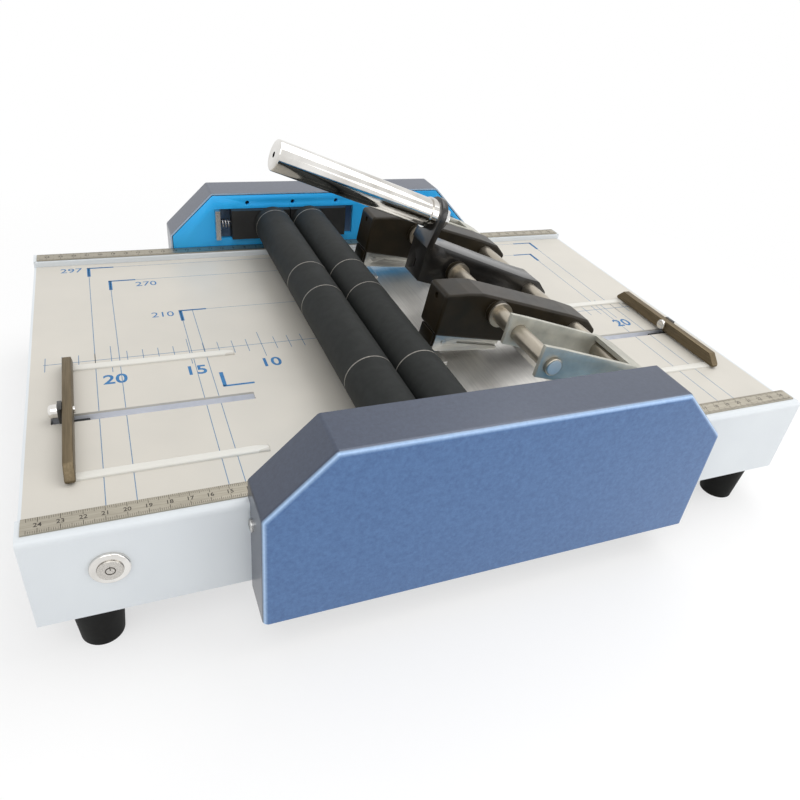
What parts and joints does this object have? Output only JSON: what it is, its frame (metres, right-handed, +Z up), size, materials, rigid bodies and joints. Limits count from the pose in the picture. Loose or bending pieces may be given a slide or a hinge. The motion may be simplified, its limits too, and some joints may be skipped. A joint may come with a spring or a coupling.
{
  "type": "creasing machine",
  "caption": "Flat paper table on rubber feet with sprung rubber fold rollers between blue side covers and a lever frame that presses stapling heads onto the fold line.",
  "frame": {"origin": "centre of the footprint, on the plane of the feet, under the rulers' zero line", "axes": "+X along the table to the operator's right, +Y away from the operator, +Z up"},
  "size_m": [0.5, 0.396, 0.2162],
  "materials": {
    "white_enamel": "gloss",
    "zinc_pan": "satin",
    "table_enamel": "satin",
    "polished_steel": "polished",
    "ruler_steel": "satin",
    "foot_rubber": "matte",
    "screw_steel": "satin",
    "sky_blue": "gloss",
    "hammer_blue": "gloss",
    "channel_aluminium": "satin",
    "bronze_steel": "satin",
    "black_steel": "gloss",
    "bright_chrome": "polished",
    "button_steel": "satin",
    "core_steel": "satin",
    "roller_rubber": "matte",
    "block_plastic": "matte",
    "spring_steel": "satin",
    "gear_steel": "satin",
    "motor_metal": "satin",
    "blade_steel": "satin",
    "shaft_steel": "polished",
    "zinc_arm": "satin",
    "head_black": "gloss",
    "magazine_steel": "satin",
    "inlet_plastic": "matte",
    "board_green": "satin"
  },
  "bodies": {
    "base": {"front_panel": "white_enamel", "rear_panel": "white_enamel", "left_end_panel": "white_enamel", "right_end_panel": "white_enamel", "base_pan": "zinc_pan", "casing_brackets": "zinc_pan", "left_table": "table_enamel", "right_table": "table_enamel", "polished_plate": "polished_steel", "anvils": "polished_steel", "rulers": "ruler_steel", "rubber_feet": "foot_rubber", "foot_screws": "screw_steel", "cover_screws": "screw_steel", "front_side_plate": "sky_blue", "rear_side_plate": "sky_blue", "front_cover": "hammer_blue", "rear_cover": "hammer_blue", "slot_channels": "channel_aluminium", "power_button_body": "bright_chrome", "right_bearing_blocks": "block_plastic", "spring_seats": "spring_steel", "roller_springs": "spring_steel", "return_spring": "spring_steel", "drive_motor": "motor_metal", "lift_motor": "motor_metal", "blade_guide_posts": "blade_steel", "mains_inlet": "inlet_plastic", "control_board": "board_green"},
    "left_carriage": {"left_bearing_blocks": "block_plastic"},
    "left_roller": {"left_roller_core": "core_steel", "left_roller_rubber": "roller_rubber", "left_roller_gear": "gear_steel"},
    "right_roller": {"right_roller_core": "core_steel", "right_roller_rubber": "roller_rubber", "right_roller_gear": "gear_steel", "drive_gear": "gear_steel"},
    "motor_rotor": {"motor_gear": "gear_steel"},
    "blade": {"fold_blade": "blade_steel", "blade_carrier": "blade_steel", "blade_rack": "gear_steel"},
    "pinion": {"lift_pinion": "gear_steel"},
    "stapling_frame": {"pivot_shaft": "shaft_steel", "press_shaft": "shaft_steel", "front_swing_arm": "zinc_arm", "rear_swing_arm": "zinc_arm", "front_head_housing": "head_black", "rear_head_housing": "head_black", "head_magazines": "magazine_steel", "head_plates": "head_black", "handle_lever": "black_steel", "handle_tube": "bright_chrome", "handle_nut": "screw_steel"},
    "left_stop": {"left_stop_bar": "bronze_steel", "left_stop_slider": "black_steel"},
    "left_screw": {"left_stop_screw": "bright_chrome"},
    "right_stop": {"right_stop_bar": "bronze_steel", "right_stop_slider": "black_steel"},
    "right_screw": {"right_stop_screw": "bright_chrome"},
    "power_button": {"power_button_cap": "button_steel"}
  },
  "joints": [
    {"name": "left_roller_press", "type": "slide", "parent": "base", "child": "left_carriage", "axis": [-1, 0, 0], "range_m": [0, 0.002], "stiffness_N_per_m": 4000, "springref_m": -0.003, "deforming": ["roller_springs"]},
    {"name": "left_roller_spin", "type": "hinge", "parent": "left_carriage", "child": "left_roller", "pos_m": [-0.05475, 0, 0.107], "axis": [0, 1, 0], "continuous": true},
    {"name": "right_roller_spin", "type": "hinge", "parent": "base", "child": "right_roller", "pos_m": [-0.02205, 0, 0.107], "axis": [0, 1, 0], "continuous": true},
    {"name": "motor_spin", "type": "hinge", "parent": "base", "child": "motor_rotor", "pos_m": [-0.00608, -0.18, 0.066], "axis": [0, 1, 0], "continuous": true},
    {"name": "blade_lift", "type": "slide", "parent": "base", "child": "blade", "axis": [0, 0, 1], "range_m": [0, 0.02]},
    {"name": "lift_pinion_turn", "type": "hinge", "parent": "base", "child": "pinion", "pos_m": [-0.0179, 0.005, 0.054], "axis": [0, 1, 0], "range_deg": [0, 114.6]},
    {"name": "staple_press", "type": "hinge", "parent": "base", "child": "stapling_frame", "pos_m": [0.124, 0, 0.1], "axis": [0, -1, 0], "range_deg": [0, 5], "stiffness_Nm_per_rad": 2.5, "springref_deg": -68.75},
    {"name": "left_stop_slide", "type": "slide", "parent": "base", "child": "left_stop", "axis": [1, 0, 0], "range_m": [0, 0.095]},
    {"name": "left_stop_screw_turn", "type": "hinge", "parent": "left_stop", "child": "left_screw", "pos_m": [-0.23, -0.066, 0.0872], "axis": [1, 0, 0], "range_deg": [0, 180]},
    {"name": "right_stop_slide", "type": "slide", "parent": "base", "child": "right_stop", "axis": [-1, 0, 0], "range_m": [0, 0.066]},
    {"name": "right_stop_screw_turn", "type": "hinge", "parent": "right_stop", "child": "right_screw", "pos_m": [0.223, -0.048, 0.0872], "axis": [1, 0, 0], "range_deg": [0, 180]},
    {"name": "power_button_press", "type": "slide", "parent": "base", "child": "power_button", "axis": [0, 1, 0], "range_m": [0, 0.0015], "stiffness_N_per_m": 400, "springref_m": -0.001}
  ],
  "couplings": [
    {"joint": "left_roller_spin", "follows": "right_roller_spin", "ratio": -1},
    {"joint": "motor_spin", "follows": "right_roller_spin", "ratio": -1.0952},
    {"joint": "lift_pinion_turn", "follows": "blade_lift", "rad_per_m": 100}
  ]
}
